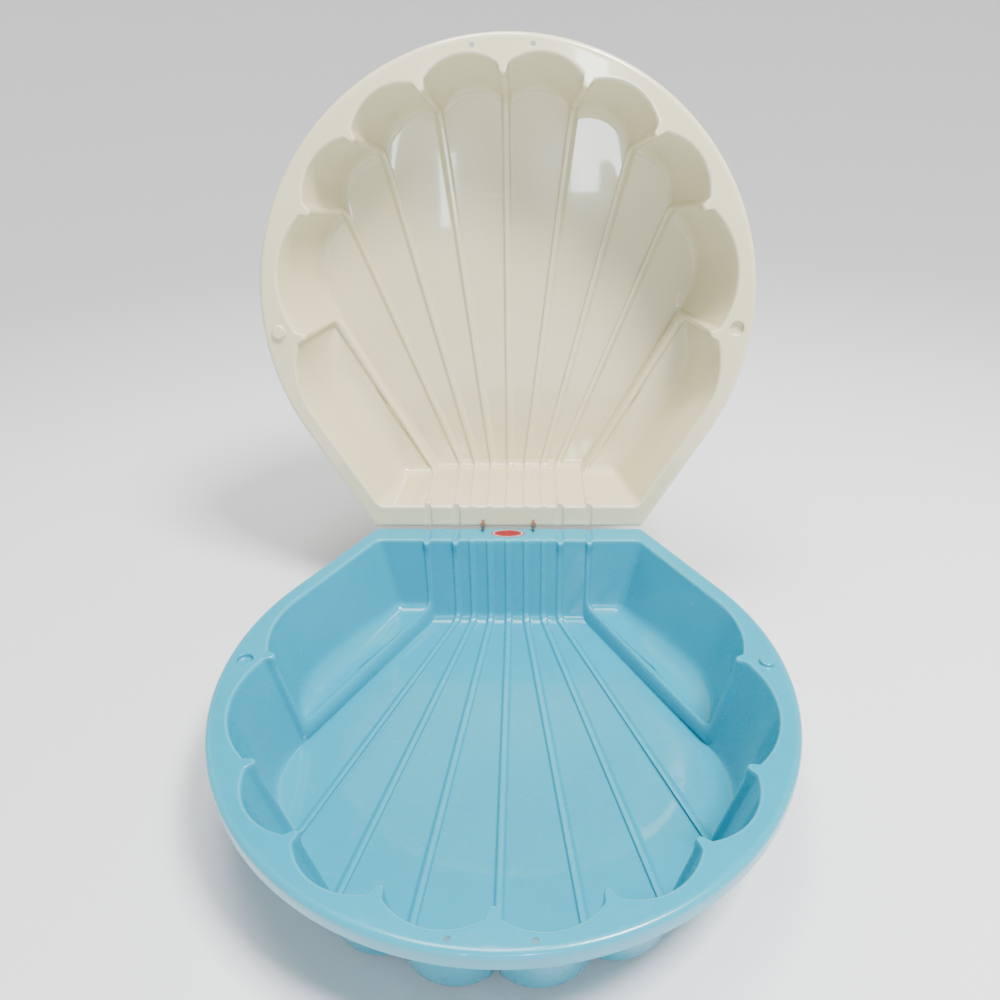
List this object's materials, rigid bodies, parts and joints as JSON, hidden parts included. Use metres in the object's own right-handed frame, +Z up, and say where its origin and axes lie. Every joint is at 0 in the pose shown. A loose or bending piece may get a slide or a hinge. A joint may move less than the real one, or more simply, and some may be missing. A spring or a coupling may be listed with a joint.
{
  "type": "sandbox with cover",
  "caption": "Scallop-shell sandbox of two matching plastic shells: a base tray and a cover that stands open on cord hinge ties and shuts over the base.",
  "frame": {"origin": "on the ground under the base, below the centre of the round front of its rim", "axes": "+Z up, +Y from the round front back to the hinge edge, +X to the right for someone facing the open sandbox"},
  "size_m": [0.88, 1.1221, 1.0459],
  "materials": {
    "base_plastic": "glossy moulded aqua polyethylene",
    "cover_plastic": "glossy moulded ivory polyethylene",
    "badge_vinyl": "printed vinyl label",
    "tie_cord": "twisted twine"
  },
  "bodies": {
    "base": {"base_shell": "base_plastic", "badge": "badge_vinyl", "hinge_tie_left": "tie_cord", "hinge_tie_right": "tie_cord"},
    "cover": {"cover_shell": "cover_plastic"}
  },
  "joints": [
    {"name": "cover_hinge", "type": "hinge", "parent": "base", "child": "cover", "pos_m": [0, 0.42, 0.1903], "axis": [1, 0, 0], "range_deg": [0, 95.3]}
  ]
}
